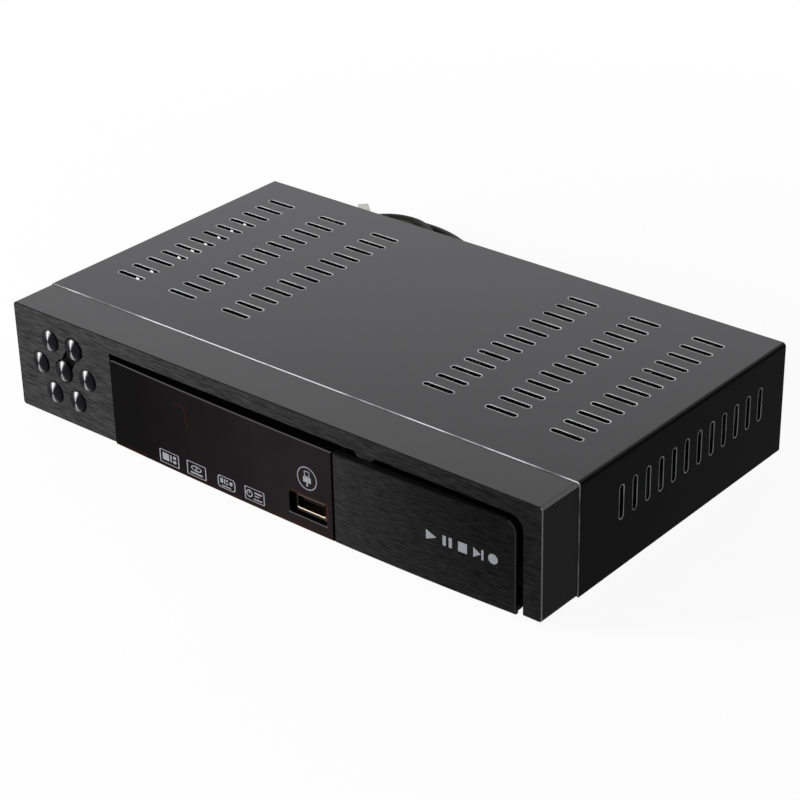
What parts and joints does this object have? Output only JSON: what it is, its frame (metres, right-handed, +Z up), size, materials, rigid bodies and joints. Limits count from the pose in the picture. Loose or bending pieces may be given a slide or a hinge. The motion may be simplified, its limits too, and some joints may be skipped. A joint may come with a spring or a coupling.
{
  "type": "satellite television receiver",
  "caption": "Set-top satellite receiver with a vented steel case, bowed smoked window, flap over the card slot, front keys, rear sockets and a coiled mains lead.",
  "frame": {"origin": "on the table, under the middle of the box round the case, its front and its rear sockets, with the mains lead left out", "axes": "+X to the right of someone facing the front, -Y the front, +Z up"},
  "size_m": [0.2778, 0.2368, 0.0488],
  "materials": {
    "black_steel": "satin",
    "zinc_steel": "satin",
    "black_plastic": "satin",
    "smoked_acrylic": "gloss",
    "key_plastic": "gloss",
    "rubber": "matte",
    "board_green": "satin",
    "board_tan": "matte",
    "white_plastic": "satin",
    "nickel": "bright",
    "heatsink": "satin",
    "chip": "matte",
    "can_sleeve": "gloss",
    "yellow": "satin",
    "white": "satin",
    "red": "satin",
    "brass": "bright",
    "film": "satin",
    "core_tape": "satin"
  },
  "bodies": {
    "receiver": {"front_moulding": "black_plastic", "display_window": "smoked_acrylic", "steel_cover": "black_steel", "steel_tray": "zinc_steel", "rubber_feet": "rubber", "cover_screws": "zinc_steel", "standoffs": "brass", "board_screws": "zinc_steel", "main_board": "board_green", "supply_board": "board_tan", "front_board": "board_green", "key_switches": "chip", "digit_display": "chip", "remote_eye": "chip", "power_lamp": "red", "front_socket": "nickel", "card_reader": "chip", "ribbon_cable": "white_plastic", "power_loom": "red", "loom_sockets": "white_plastic", "processor": "chip", "processor_sink": "heatsink", "memory_chips": "chip", "board_capacitors": "can_sleeve", "board_coils": "chip", "tuner_can": "nickel", "f_connectors": "nickel", "f_inserts": "white", "serial_socket": "nickel", "jack_posts": "nickel", "rca_block": "black_plastic", "rca_barrels": "nickel", "rca_yellow": "yellow", "rca_white": "white", "rca_red": "red", "hdmi_socket": "nickel", "network_socket": "nickel", "switch_frame": "black_plastic", "supply_transformer": "core_tape", "supply_sink": "heatsink", "line_filter": "chip", "bulk_capacitor": "can_sleeve", "supply_capacitors": "can_sleeve", "mains_fuse": "nickel", "insulation_sheet": "film", "cord_gland": "rubber", "mains_lead": "rubber", "mains_coil": "rubber", "coil_tie": "white_plastic", "plug_body": "rubber", "plug_pins": "nickel"},
    "flap": {"flap_door": "black_plastic"},
    "rocker": {"switch_rocker": "key_plastic"},
    "key_power": {"key_power": "key_plastic"},
    "key_up": {"key_up": "key_plastic"},
    "key_left": {"key_left": "key_plastic"},
    "key_ok": {"key_ok": "key_plastic"},
    "key_right": {"key_right": "key_plastic"},
    "key_down": {"key_down": "key_plastic"},
    "key_menu": {"key_menu": "key_plastic"}
  },
  "joints": [
    {"name": "flap_hinge", "type": "hinge", "parent": "receiver", "child": "flap", "pos_m": [0.08, -0.07795, 0.0064], "axis": [1, 0, 0], "range_deg": [0, 85]},
    {"name": "rocker_pivot", "type": "hinge", "parent": "receiver", "child": "rocker", "pos_m": [-0.098, 0.07015, 0.029], "axis": [1, 0, 0], "range_deg": [0, 18]},
    {"name": "key_power_press", "type": "slide", "parent": "receiver", "child": "key_power", "axis": [0, 1, 0], "range_m": [0, 0.0006], "stiffness_N_per_m": 200, "springref_m": -0.002},
    {"name": "key_up_press", "type": "slide", "parent": "receiver", "child": "key_up", "axis": [0, 1, 0], "range_m": [0, 0.0006], "stiffness_N_per_m": 200, "springref_m": -0.002},
    {"name": "key_left_press", "type": "slide", "parent": "receiver", "child": "key_left", "axis": [0, 1, 0], "range_m": [0, 0.0006], "stiffness_N_per_m": 200, "springref_m": -0.002},
    {"name": "key_ok_press", "type": "slide", "parent": "receiver", "child": "key_ok", "axis": [0, 1, 0], "range_m": [0, 0.0006], "stiffness_N_per_m": 200, "springref_m": -0.002},
    {"name": "key_right_press", "type": "slide", "parent": "receiver", "child": "key_right", "axis": [0, 1, 0], "range_m": [0, 0.0006], "stiffness_N_per_m": 200, "springref_m": -0.002},
    {"name": "key_down_press", "type": "slide", "parent": "receiver", "child": "key_down", "axis": [0, 1, 0], "range_m": [0, 0.0006], "stiffness_N_per_m": 200, "springref_m": -0.002},
    {"name": "key_menu_press", "type": "slide", "parent": "receiver", "child": "key_menu", "axis": [0, 1, 0], "range_m": [0, 0.0006], "stiffness_N_per_m": 200, "springref_m": -0.002}
  ]
}
